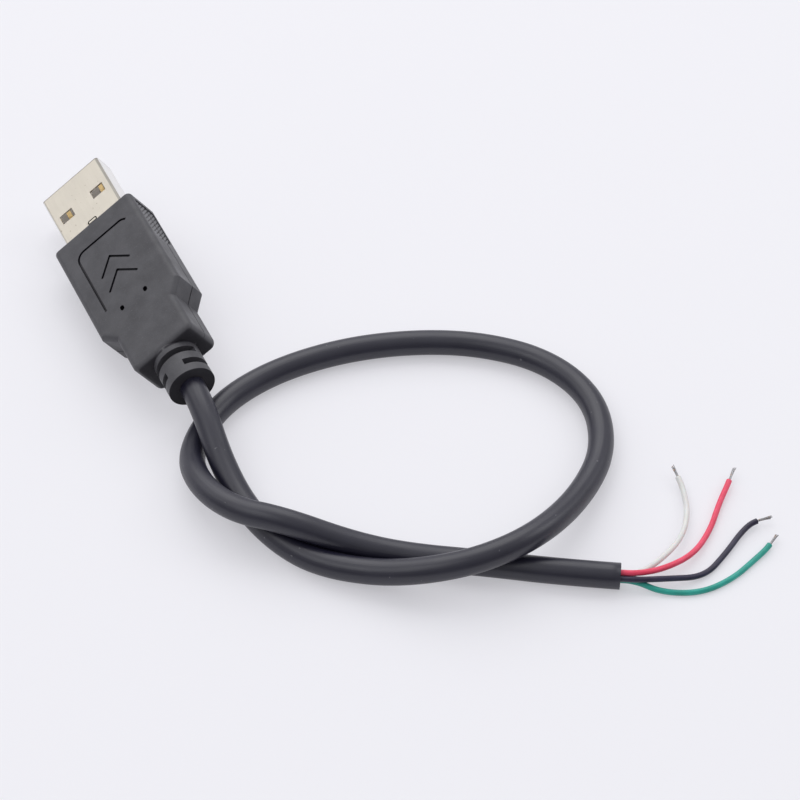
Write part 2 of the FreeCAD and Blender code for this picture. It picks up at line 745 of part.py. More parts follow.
def parting_grooves(sheet):
    """The mould's parting line along both sides, the step and the recesses."""
    half_grip = sheet.body_width.value / 2
    half_neck = sheet.neck_width.value / 2
    depth = sheet.parting_depth.value
    step = sheet.step_length.value
    narrowing = half_grip - half_neck
    slide = depth * (math.hypot(step, narrowing) - step) / narrowing
    low = -sheet.parting_drop.value - sheet.parting_width.value / 2
    grip_end = -sheet.grip_length.value
    back = -sheet.body_length.value
    cuts = []
    for side in (-1, 1):
        corners = [(half_grip - depth, 1), (half_grip - depth, grip_end + slide),
                   (half_neck - depth, grip_end - step + slide),
                   (half_neck - depth, back + sheet.neck_corner.value),
                   (half_grip + 1, back + sheet.neck_corner.value), (half_grip + 1, 1)]
        ring = [Vector(side * x, y, low) for x, y in corners]
        face = Part.Face(Part.makePolygon(ring + ring[:1]))
        cuts.append(face.extrude(Vector(0, 0, sheet.parting_width.value)))
        floor = half_grip - sheet.recess_depth.value - sheet.rib_depth.value - depth
        across = sorted((side * floor, side * (half_grip + 1)))
        cuts.append(block_between(across, (-sheet.recess_back.value, -sheet.recess_front.value),
                                  (low, low + sheet.parting_width.value)))
    return cuts


def make_engraving(doc, sheet):
    """Everything cut into the overmould's outside after moulding its form."""
    item = doc.addObject("Part::Feature", "engraving")
    item.Shape = Part.makeCompound(panel_line(sheet) + chevrons(sheet)
                                   + pin_marks(sheet) + side_grips(sheet)
                                   + parting_grooves(sheet))
    return item


def make_cut(doc, name, base, tool):
    item = doc.addObject("Part::Cut", name)
    item.Base = base
    item.Tool = tool
    return item


def fuse_tools(doc, name, tools):
    item = doc.addObject("Part::MultiFuse", name)
    item.Shapes = tools
    return item


class Run:
    """A straight stretch of a path."""

    def __init__(self, start, end):
        self.start = start
        self.end = end

    def beside(self, offset):
        return Run(self.start + offset, self.end + offset), offset

    def carry(self, edge):
        """The face that an edge sweeps along the run, and the edge at its end."""
        step = self.end - self.start
        return edge.extrude(step), edge.translated(step)


class Arc:
    """A tangent arc between two runs, turning about an axis."""

    def __init__(self, start, end, centre, axis, degrees):
        self.start = start
        self.end = end
        self.centre = centre
        self.axis = axis
        self.degrees = degrees

    def beside(self, offset):
        turned = FreeCAD.Rotation(self.axis, self.degrees).multVec(offset)
        arc = Arc(self.start + offset, self.end + turned, self.centre, self.axis, self.degrees)
        return arc, turned

    def carry(self, edge):
        face = edge.revolve(self.centre, self.axis, self.degrees)
        return face, edge.rotated(self.centre, self.axis, self.degrees)

    def radius(self):
        spoke = self.start - self.centre
        return (spoke - self.axis * spoke.dot(self.axis)).Length

    def length(self):
        return math.radians(self.degrees) * self.radius()


def rounded_path(points):
    """Straight runs joined by tangent arcs.

    Each arc's radius is RUN_SHARE of its shorter run, divided by the tangent
    of half the turn.
    """
    pieces = []
    start = points[0]
    for before, corner, after in zip(points, points[1:], points[2:]):
        arrive = (corner - before).normalize()
        leave = (after - corner).normalize()
        reach = RUN_SHARE * min((corner - before).Length, (after - corner).Length)
        half_turn = arrive.getAngle(leave) / 2
        radius = reach / math.tan(half_turn)
        arc_start = corner - arrive * reach
        arc_end = corner + leave * reach
        axis = arrive.cross(leave).normalize()
        centre = arc_start + axis.cross(arrive) * radius
        pieces.append(Run(start, arc_start))
        pieces.append(Arc(arc_start, arc_end, centre, axis, math.degrees(2 * half_turn)))
        start = arc_end
    pieces.append(Run(start, points[-1]))
    return pieces


def offset_path(pieces, offset):
    """The same path carried beside itself, turning with it but not twisting."""
    moved = []
    for piece in pieces:
        beside, offset = piece.beside(offset)
        moved.append(beside)
    return moved, offset


def path_length(pieces):
    total = 0
    for piece in pieces:
        total += piece.length() if isinstance(piece, Arc) else (piece.end - piece.start).Length
    return total


def sweep(pieces, radius):
    """A round rod along a path, checked against its section and length."""
    first = pieces[0]
    edge = Part.makeCircle(radius, first.start, (first.end - first.start).normalize())
    faces = [Part.Face(Part.Wire(edge))]
    for piece in pieces:
        face, edge = piece.carry(edge)
        faces.append(face)
    faces.append(Part.Face(Part.Wire(edge)))
    skin = Part.makeCompound(faces)
    skin.sewShape()
    rod = Part.Solid(Part.Shell(skin.Faces))
    if rod.Volume < 0:
        rod.reverse()
    length = path_length(pieces)
    expected = math.pi * radius * radius * length
    if abs(rod.Volume - expected) > 0.01 * expected:
        raise ValueError("swept rod is off its volume: %.3f for %.3f" % (rod.Volume, expected))
    return rod, length


def make_tube(doc, name, pieces, outer_radius, inner_radius=None):
    """A rod or tube along a path, as one solid."""
    shape, length = sweep(pieces, outer_radius)
    if inner_radius is not None:
        core, _ = sweep(pieces, inner_radius)
        shape = shape.cut(core)
    item = doc.addObject("Part::Feature", name)
    item.Shape = shape
    print("%s: %.1f mm long" % (name, length))
    return item


def print_radii(name, pieces):
    radii = ["%.1f" % piece.radius() for piece in pieces if isinstance(piece, Arc)]
    print("%s radii: %s" % (name, " ".join(radii)))


def cord_path(sheet, place):
    """The jacket's path from its hidden end in the plug to its cut end."""
    points = [place.multVec(Vector(0, -sheet.jacket_start.value, 0)),
              Vector(0, -CORD_LEAD_OUT, place.Base.z)]
    points += [Vector(*point) for point in CORD_POINTS]
    return rounded_path(points)


def plug_paths(sheet, place):
    """Each wire inside the plug: from its solder joint, turning into the bundle."""
    paths = {}
    height = wire_height(sheet).value
    start = strand_start(sheet).value
    end = sheet.jacket_start.value
    across = sheet.wire_diameter.value
    for colour, _, side, pair, degrees, turns in CIRCUITS:
        x = side * getattr(sheet, pair).value
        bundle = bundle_offset(sheet, degrees)
        points = [Vector(x, -start, height), Vector(x, -start - SOLDER_LEAD, height)]
        points += [Vector(a * across, before - end, b * across) for a, b, before in turns]
        points += [bundle + Vector(0, JACKET_LEAD - end, 0), bundle + Vector(0, -end, 0)]
        paths[colour] = rounded_path([place.multVec(point) for point in points])
    return paths


def bundle_offset(sheet, degrees):
    """A wire's place in the bundle, across the plug."""
    turn = math.radians(degrees)
    return Vector(math.cos(turn), 0, math.sin(turn)) * sheet.bundle_radius.value


def outer_paths(sheet, place, jacket):
    """Each wire from the jacket's hidden end, through it, to the wire's tip."""
    paths = {}
    jacket_end = jacket[-1].end
    heading = (jacket_end - jacket[-1].start).normalize()
    for colour, _, _, _, degrees, _ in CIRCUITS:
        offset = place.Rotation.multVec(bundle_offset(sheet, degrees))
        carried, last = offset_path(jacket, offset)
        mouth = jacket_end + last
        free = [mouth, mouth + heading * sheet.wire_lead.value]
        free += [Vector(*point) for point in WIRE_POINTS[colour]]
        free = rounded_path(free)
        print_radii(colour, free)
        paths[colour] = carried + free
    return paths


def covered_start(sheet, pieces):
    """A wire's path from where its insulation begins, behind the solder."""
    first = pieces[0]
    along = (first.end - first.start).normalize()
    start = first.start + along * (wire_start(sheet) - strand_start(sheet)).value
    return [Run(start, first.end)] + pieces[1:]


def rolled_height(sheet):
    """Height of the plug's axis when it rests on its rounded lower edge."""
    roll = math.radians(sheet.roll_degrees.value)
    edge = sheet.body_edge.value
    across = sheet.body_width.value / 2 - edge
    upright = sheet.body_height.value / 2 - edge
    return across * math.sin(roll) + upright * math.cos(roll) + edge


def plug_placement(sheet):
    """The plug lies rolled, centred over the part's origin, mouth to +y."""
    back = sheet.body_length.value + sheet.relief_length.value
    middle = (sheet.shell_reach.value - back) / 2
    roll = FreeCAD.Rotation(Vector(0, 1, 0), -sheet.roll_degrees.value)
    return FreeCAD.Placement(Vector(0, -middle, rolled_height(sheet)), roll)


def make_plug(doc, sheet, wires):
    """All pieces of the plug, in the plug's own frame."""
    nodes = [make_shell(doc, sheet), make_insulator(doc, sheet), make_retainer(doc, sheet)]
    contacts = []
    joints = []
    for contact, place in contact_places(sheet):
        contacts.append(make_contact(doc, sheet, contact, place))
        joints.append(make_solder(doc, sheet, contact, place))
    inner_block = make_inner_block(doc, sheet)
    clearance = make_shell_plug(doc, sheet)
    half_width = sheet.shell_width / 2 - sheet.shell_wall - sheet.slip_fit
    floor = sheet.shell_wall + sheet.slip_fit - sheet.shell_height / 2
    shelf = box(doc, "shelf_clearance", (-half_width, half_width),
                (-sheet.shelf_length, -sheet.shell_tail), (floor, tongue_top(sheet)))
    jacket_end = cord_hole(doc, sheet, "jacket_end_clearance", sheet.jacket_start,
                           sheet.inner_back + 1)
    wire_runs = doc.addObject("Part::Feature", "wire_clearance")
    wire_runs.Shape = wires
    joint_forms = doc.addObject("Part::Feature", "joint_clearance")
    joint_forms.Shape = Part.makeCompound([joint.Shape.copy() for joint in joints])
    inside = fuse_tools(doc, "inner_mould_cavity",
                        [clearance, shelf, jacket_end, wire_runs, joint_forms])
    inner_mould = make_cut(doc, "inner_mould", inner_block, inside)
    cord_bore = cord_hole(doc, sheet, "cord_bore", sheet.inner_back - 1,
                          sheet.body_length + sheet.relief_length + 1)
    outside = make_overmould_body(doc, sheet)
    cavity = fuse_tools(doc, "overmould_cavity",
                        [inner_block, clearance, cord_bore, make_engraving(doc, sheet)])
    overmould = make_cut(doc, "overmould", outside, cavity)
    return nodes + contacts + joints + [inner_mould, overmould]


def hidden_wires(sheet, place, paths):
    """The wires inside the inner moulding, in the plug's own frame."""
    runs = []
    for pieces in paths.values():
        strands, _ = sweep(pieces, sheet.strand_diameter.value / 2)
        cover, _ = sweep(covered_start(sheet, pieces), sheet.wire_diameter.value / 2)
        runs += [strands, cover]
    together = runs[0].fuse(runs[1:])
    together.Placement = place.inverse()
    return together


def check_objects(doc, nodes):
    """Stop if any object failed or any sub-part isn't one sound solid."""
    for item in doc.Objects:
        if "Invalid" in item.State or "Error" in item.State:
            raise ValueError("%s failed: %s" % (item.Label, item.State))
    for node in nodes:
        shape = node.Shape
        if shape.isNull() or not shape.isValid():
            raise ValueError("%s has no sound shape" % node.Label)
        if len(shape.Solids) != 1:
            raise ValueError("%s has %d solids" % (node.Label, len(shape.Solids)))


def main():
    doc = FreeCAD.newDocument("lead")
    sheet = Sheet(doc)
    place = plug_placement(sheet)
    jacket = cord_path(sheet, place)
    print_radii("cord", jacket)
    inside = plug_paths(sheet, place)
    outside = outer_paths(sheet, place, jacket)

    nodes = make_plug(doc, sheet, hidden_wires(sheet, place, inside))
    doc.recompute()
    for node in nodes:
        node.Placement = place

    nodes.append(make_tube(doc, "cable_jacket", jacket, sheet.cord_diameter.value / 2,
                           sheet.jacket_bore.value / 2))
    strand_radius = sheet.strand_diameter.value / 2
    for colour in inside:
        pieces = inside[colour] + outside[colour]
        covered = covered_start(sheet, pieces)[:-2]
        nodes.append(make_tube(doc, "wire_" + colour, covered,
                               sheet.wire_diameter.value / 2, strand_radius))
        nodes.append(make_tube(doc, "conductor_" + colour, pieces, strand_radius))
    doc.recompute()
    check_objects(doc, nodes)

    os.makedirs("parts", exist_ok=True)
    for node in nodes:
        node.Shape.exportStep(os.path.join("parts", node.Label + ".step"))
        print("%s %.2f mm3" % (node.Label, node.Shape.Volume))


main()
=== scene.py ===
"""A short data and charging lead: a steel plug in a stepped moulded grip, one
loose loop of round cord, and four coloured wires with stripped tips.

Lengths are in metres, in the frame of the solids, except where a comment says
that they are in millimetres.
"""
import math

import bpy
import numpy as np
from mathutils import Matrix

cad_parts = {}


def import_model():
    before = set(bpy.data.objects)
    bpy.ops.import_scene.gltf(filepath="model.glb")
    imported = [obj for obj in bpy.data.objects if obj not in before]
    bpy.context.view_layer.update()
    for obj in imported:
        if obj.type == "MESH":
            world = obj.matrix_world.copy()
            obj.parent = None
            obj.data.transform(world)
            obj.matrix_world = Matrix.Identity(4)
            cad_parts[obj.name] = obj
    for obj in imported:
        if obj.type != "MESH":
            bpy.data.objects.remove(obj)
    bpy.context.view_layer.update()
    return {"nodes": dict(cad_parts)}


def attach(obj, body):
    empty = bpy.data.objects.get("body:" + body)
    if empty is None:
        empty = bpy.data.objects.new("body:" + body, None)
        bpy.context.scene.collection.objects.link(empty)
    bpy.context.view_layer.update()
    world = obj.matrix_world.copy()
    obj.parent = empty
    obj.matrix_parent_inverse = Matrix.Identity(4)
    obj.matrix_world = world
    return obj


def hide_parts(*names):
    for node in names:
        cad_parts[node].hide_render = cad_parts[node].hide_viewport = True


MM = 0.001
FULL_TURN = 2 * np.pi

# The plug lies rolled about its length, the y axis. Its own frame starts at
# the middle of the moulding's front face: x across, y to the mouth, z up.
PLUG_ROLL = math.radians(-32.0)
PLUG_FACE = np.array([0.0, 12.6, 7.2831]) * MM

JACKET_RADIUS = 2.0 * MM
BORE_RADIUS = 1.2 * MM
CORD_AROUND = 40
# The cut end stands a little past the route's end. Its outer edge rolls in, its
# bore opens a little, and one ring lies between the two.
CUT_STANDS = 0.042 * MM
CUT_ROLLS_IN = 0.048 * MM
CUT_OPENS = 0.06 * MM
CUT_MIDDLE = 1.6 * MM

WIRE_RADIUS = 0.45 * MM
WIRE_AROUND = 18
BUNDLE_RADIUS = 0.66 * MM
# A wire follows the cord until it leaves it, before the cut end. Its own spline
# has two points on the cord's heading before the cut, and one straight past it.
WIRE_LEAVES = 3.0 * MM
WIRE_STARTS = (2.9 * MM, 0.8 * MM)
WIRE_LEAD = 2.5 * MM
# Rings that round a wire's end, in shares of its radius: how wide each is, and
# how far it stands out.
END_WIDTHS = np.array([0.02, 0.55, 0.85])
END_STANDS = 0.16 * np.array([1.0, 0.8, 0.45])

# The bare tips: six fine strands laid round a seventh, twisted by an angle in
# radians over their length. They start hidden in the insulation.
STRANDS_LAID = 6
STRAND_RADIUS = 0.064 * MM
STRAND_AROUND = 8
STRAND_STEPS = 34
STRAND_UV_STEP = 0.1 * MM
STRAND_HIDDEN = 0.6 * MM
STRAND_LAY = 0.132 * MM
STRAND_TWIST = 3.2
# Each opens out from a share of the way on, by a share of the spread, strays
# from the twist by up to an angle, and falls short by up to a share.
STRAND_OPENS = 0.3
STRAND_SPREAD = 0.30 * MM
STRAND_SPREAD_SHARES = (0.2, 1.0)
STRAND_STRAYS = 0.25
STRAND_FALLS_SHORT = 0.22
# A strand's last ring, in shares of its radius and of its last step.
STRAND_NOSE_WIDTH = 0.35
STRAND_NOSE_STANDS = 0.4
STRAND_SEEDS = {"red": 135, "white": 154, "green": 138, "black": 133}

SPLINE_STEPS = 12
SPLINE_ORDER = 3
SAME_POINT = 1e-7
NEXT_POINT = 0.02 * MM

# The cord's route in millimetres: down from the strain relief, over the run
# that ends it, round the loop, over its own first run, and out to the right.
CORD_ROUTE = np.array([
    (0.0, -5.9, 7.2831),
    (0.0, -20.5, 7.2831),
    (0.0, -29.0, 7.2831),
    (-1, -38.3, 4.1),
    (-0.8, -46.9, 2.3),
    (1.1, -54.6, 2),
    (4.5, -61, 2),
    (10.9, -66.9, 2.7),
    (17.3, -71.7, 5),
    (25.4, -74.6, 6.7),
    (35, -73.8, 6.6),
    (45.4, -67.8, 3.5),
    (53.8, -60, 2),
    (57.4, -50, 2),
    (54.6, -39.8, 2),
    (46.8, -31.8, 2),
    (36.6, -26.4, 2),
    (25.1, -23.3, 2),
    (13.2, -23.1, 2),
    (3.2, -26.2, 2),
    (-4.3, -33.3, 2.1),
    (-6, -41.8, 4.8),
    (-3.7, -49.4, 5.9),
    (2.1, -55.1, 6.6),
    (10.1, -60.9, 3.3),
    (17.2, -65.8, 2),
    (27.4, -72.2, 2),
    (35.9, -78, 2),
    (43.9, -82.8, 2),
]) * MM

# For each wire its place in the bundle, in degrees from the right-hand side
# upwards, its bare length, and its points past the cut end, in millimetres.
WIRE_ROUTES = {
    "red": (108.5, 2.8, [(50.5, -84.4, 2), (56.2, -83.3, 1.1), (61, -80, 0.6),
                         (64.7, -76.2, 0.7), (68.1, -73.3, 1), (70.4, -71.2, 1.25)]),
    "white": (198.5, 2.2, [(51, -82.6, 1.9), (55.9, -80.1, 1.5), (59.4, -76, 0.9),
                           (61.1, -71.9, 0.8), (61.65, -69.2, 1.1), (61.8, -67, 1.4)]),
    "green": (-71.5, 2.4, [(48.6, -87.1, 0.5), (53.8, -89.7, 0.45), (59.4, -89.4, 0.46),
                           (64.2, -87.7, 0.5), (67.3, -86.6, 0.7), (69.6, -85.2, 1)]),
    "black": (18.5, 2.6, [(50.2, -86.1, 1.75), (55.8, -87.3, 0.5), (60.8, -84.9, 0.6),
                          (65.2, -82.3, 0.8), (68, -81.5, 1), (70.6, -82.2, 1.1)]),
}

# The darker and the lighter shade of each wire.
WIRE_SHADES = {
    "red": ((0.76, 0.045, 0.105), (0.88, 0.075, 0.155)),
    "white": ((0.70, 0.70, 0.68), (0.78, 0.78, 0.76)),
    "green": ((0.014, 0.29, 0.23), (0.026, 0.38, 0.31)),
    "black": ((0.014, 0.010, 0.034), (0.026, 0.021, 0.055)),
}

# The photograph's camera: which way its right and its view point, where it is,
# and its focal length in pixels of the picture.
CAMERA_RIGHT = np.array([0.9020, -0.4318, 0.0])
CAMERA_VIEW = np.array([0.29079, 0.60738, -0.73928])
CAMERA_PLACE = (-0.085703, -0.278459, 0.295711)
FOCAL_LENGTH_PX = 2537.9
PICTURE_WIDTH_PX = 800.0
SENSOR_WIDTH = 36.0
NEAR_CLIP, FAR_CLIP = 0.01, 5.0

# Soft lamps: name, place, aim, side of the square, power and colour.
NEUTRAL = (1.0, 1.0, 1.0)
COOL = (0.97, 0.98, 1.0)
LAMPS = (
    ("key", (0.20, 0.55, 0.75), (0.02, -0.03, 0.0), 0.9, 3.2, NEUTRAL),
    ("sheen", (-0.54, 0.61, 0.59), (0.0, 0.0, 0.007), 0.6, 0.8, NEUTRAL),
    ("left_fill", (-0.56, -0.10, 0.86), (0.0, -0.01, 0.0), 0.5, 1.1, COOL),
    ("right_fill", (0.75, -0.15, 0.55), (0.02, -0.03, 0.0), 0.4, 1.0, COOL),
)

# The room is paler above and behind the lead than in front of it: dim up to a
# cosine from the pale side, and pale straight towards it.
ROOM_COLOUR = (0.97, 0.97, 1.0, 1.0)
ROOM_PALE_SIDE = (0.20, 0.62, 0.76)
ROOM_DIM, ROOM_PALE = 0.20, 0.85
ROOM_DIM_FROM = -0.5

# The surface under the lead, and the share of its plain colour that shows.
SURFACE_REACH = 3.0
SURFACE_PLAIN = (0.885, 0.876, 0.925, 1.0)
SURFACE_PLAIN_SHARE = 0.45


# ---------------------------------------------------------------- the lines

def spline_line(name, points):
    """Points along the smooth NURBS spline that has the given control points
    and ends on the first and last of them."""
    data = bpy.data.curves.new(name, "CURVE")
    data.dimensions = "3D"
    data.resolution_u = SPLINE_STEPS
    spline = data.splines.new("NURBS")
    spline.points.add(len(points) - 1)
    spline.points.foreach_set("co", np.column_stack([points, np.ones(len(points))]).ravel())
    spline.order_u = SPLINE_ORDER
    spline.use_endpoint_u = True
    carrier = bpy.data.objects.new(name, data)
    mesh = bpy.data.meshes.new_from_object(carrier)
    line = np.empty(len(mesh.vertices) * 3)
    mesh.vertices.foreach_get("co", line)
    bpy.data.meshes.remove(mesh)
    bpy.data.objects.remove(carrier)
    bpy.data.curves.remove(data)
    line = line.reshape(-1, 3)
    if np.linalg.norm(line[0] - points[0]) > np.linalg.norm(line[-1] - points[0]):
        line = line[::-1]
    keep = np.r_[True, np.linalg.norm(np.diff(line, axis=0), axis=1) > SAME_POINT]
    return line[keep]


def distance_along(line):
    """Running length at each point of a line."""
    return np.r_[0.0, np.cumsum(np.linalg.norm(np.diff(line, axis=0), axis=1))]


def at_distance(line, where):
    """The points of a line at the given running lengths, between its own points
    on straight chords."""
    along = distance_along(line)
    return np.column_stack([np.interp(where, along, line[:, k]) for k in range(3)])


def side_top_heading(line):
    """For each point of a line its side, heading x up, its top, side x heading,
    and its heading. No cord here ever runs upright, so all turn smoothly."""
    heading = np.gradient(line, axis=0)
    heading /= np.linalg.norm(heading, axis=1)[:, None]
    side = np.cross(heading, (0.0, 0.0, 1.0))
    side /= np.linalg.norm(side, axis=1)[:, None]
    return side, np.cross(side, heading), heading


# --------------------------------------------------------------- the meshes

def in_scene(name, data):
    """A new object with the given data, in the scene."""
    thing = bpy.data.objects.new(name, data)
    bpy.context.scene.collection.objects.link(thing)
    return thing


def ring_grid(line, radius, around):
    """Rings of points round a line: centre + radius (cos a side - sin a top),
    so that they run with the clock seen along the line."""
    side, top, _ = side_top_heading(line)
    angle = np.linspace(0, FULL_TURN, around, endpoint=False)[None, :, None]
    spoke = np.cos(angle) * side[:, None] - np.sin(angle) * top[:, None]
    return line[:, None] + radius * spoke


def grid_faces(rings, around, close_rings=False):
    """Quads of a grid whose columns close on themselves, and whose rows do
    too if close_rings is set."""
    row = np.arange(rings if close_rings else rings - 1)[:, None]
    col = np.arange(around)[None, :]
    ahead, beside = (row + 1) % rings, (col + 1) % around
    quads = np.stack([row * around + col, row * around + beside,
                      ahead * around + beside, ahead * around + col], axis=-1)
    return quads.reshape(-1, 4)


def end_faces(start, count, around):
    """The two polygons that close a grid's first and last ring, where the grid
    has count points from start on."""
    first = range(start, start + around)
    last = range(start + count - around, start + count)
    return [tuple(first)[::-1], tuple(last)]


def grid_uv(along, radius, around):
    """A grid's UV in metres: each ring's running length in u, round it in v."""
    v = np.linspace(0, FULL_TURN * radius, around, endpoint=False)
    return np.stack(np.meshgrid(along, v, indexing="ij"), axis=-1).reshape(-1, 2)


def new_piece(name, points, quads, uv, ends=()):
    """A smooth mesh from points, quads and closing end polygons, with UV."""
    mesh = bpy.data.meshes.new(name)
    faces = [tuple(q) for q in quads.tolist()] + list(ends)
    mesh.from_pydata(points.tolist(), [], faces)
    layer = mesh.uv_layers.new(name="along")
    corner = np.empty(len(mesh.loops), dtype=np.int32)
    mesh.loops.foreach_get("vertex_index", corner)
    layer.data.foreach_set("uv", uv[corner].ravel())
    mesh.polygons.foreach_set("use_smooth", [True] * len(mesh.polygons))
    mesh.update()
    return in_scene(name, mesh)


def cord_sheath(name, line):
    """A closed wall round a line: out along the outer radius, over the cut
    lip, and back along the inner radius to the start."""
    wall = ring_grid(line, JACKET_RADIUS, CORD_AROUND)
    bore = ring_grid(line, BORE_RADIUS, CORD_AROUND)[::-1]
    cut = line[-1] + side_top_heading(line)[2][-1] * CUT_STANDS
    outward = (wall[-1] - line[-1]) / JACKET_RADIUS
    radii = (JACKET_RADIUS - CUT_ROLLS_IN, CUT_MIDDLE, BORE_RADIUS + CUT_OPENS)
    lip = np.stack([cut + outward * radius for radius in radii])
    rows = np.concatenate([wall, lip, bore])
    along = distance_along(line)
    uv = grid_uv(np.r_[along, [along[-1]] * len(lip), along[::-1]], JACKET_RADIUS, CORD_AROUND)
    return new_piece(name, rows.reshape(-1, 3), grid_faces(len(rows), CORD_AROUND, True), uv)


def rounded_end(centre, ring, outward):
    """Rings that shrink to a slightly rounded end, from the smallest one."""
    middles = centre + outward * (WIRE_RADIUS * END_STANDS)[:, None]
    return middles[:, None] + (ring - centre) * END_WIDTHS[:, None, None]


def wire_rod(name, line):
    """A wire's insulation: a round rod with slightly rounded ends."""
    rows = ring_grid(line, WIRE_RADIUS, WIRE_AROUND)
    heading = side_top_heading(line)[2]
    toe = rounded_end(line[0], rows[0], -heading[0])
    tip = rounded_end(line[-1], rows[-1], heading[-1])[::-1]
    rows = np.concatenate([toe, rows, tip])
    along = distance_along(line)
    uv = grid_uv(np.r_[[0.0] * len(toe), along, [along[-1]] * len(tip)],
                 WIRE_RADIUS, WIRE_AROUND)
    ends = end_faces(0, len(rows) * WIRE_AROUND, WIRE_AROUND)
    return new_piece(name, rows.reshape(-1, 3), grid_faces(len(rows), WIRE_AROUND), uv, ends)


def twisted_strands(name, line, seed):
    """Fine strands laid in a helix round one in the middle. Towards the tip
    each strand's distance from the middle grows with the square of the way
    along, by its own amount, and its end falls short by its own amount."""
    rng = np.random.default_rng(seed)
    side, top, _ = side_top_heading(line)
    way = distance_along(line)
    way /= way[-1]
    points, quads, ends, uvs = [], [], [], []
    start = 0
    for index in range(STRANDS_LAID + 1):
        opening = np.clip(way - STRAND_OPENS, 0, 1) ** 2
        spread = rng.uniform(*STRAND_SPREAD_SHARES) * STRAND_SPREAD * opening
        lay = 0.0 if index == STRANDS_LAID else STRAND_LAY
        angle = (FULL_TURN * index / STRANDS_LAID + STRAND_TWIST * way
                 + rng.uniform(-STRAND_STRAYS, STRAND_STRAYS) * way)
        outward = np.cos(angle)[:, None] * side + np.sin(angle)[:, None] * top
        centre = line + (lay + spread)[:, None] * outward
        short = int(round(rng.uniform(0, STRAND_FALLS_SHORT) * len(line)))
        centre = centre[:len(centre) - short]
        rows = ring_grid(centre, STRAND_RADIUS, STRAND_AROUND)
        nose = (centre[-1] + (rows[-1] - centre[-1]) * STRAND_NOSE_WIDTH
                + (centre[-1] - centre[-2]) * STRAND_NOSE_STANDS)
        rows = np.concatenate([rows, nose[None]])
        count = len(rows) * STRAND_AROUND
        points.append(rows.reshape(-1, 3))
        quads.append(grid_faces(len(rows), STRAND_AROUND) + start)
        ends += end_faces(start, count, STRAND_AROUND)
        along = np.arange(len(rows)) * STRAND_UV_STEP
        uvs.append(grid_uv(along, STRAND_RADIUS, STRAND_AROUND))
        start += count
    return new_piece(name, np.concatenate(points), np.concatenate(quads),
                     np.concatenate(uvs), ends)


# ------------------------------------------------------------ the materials

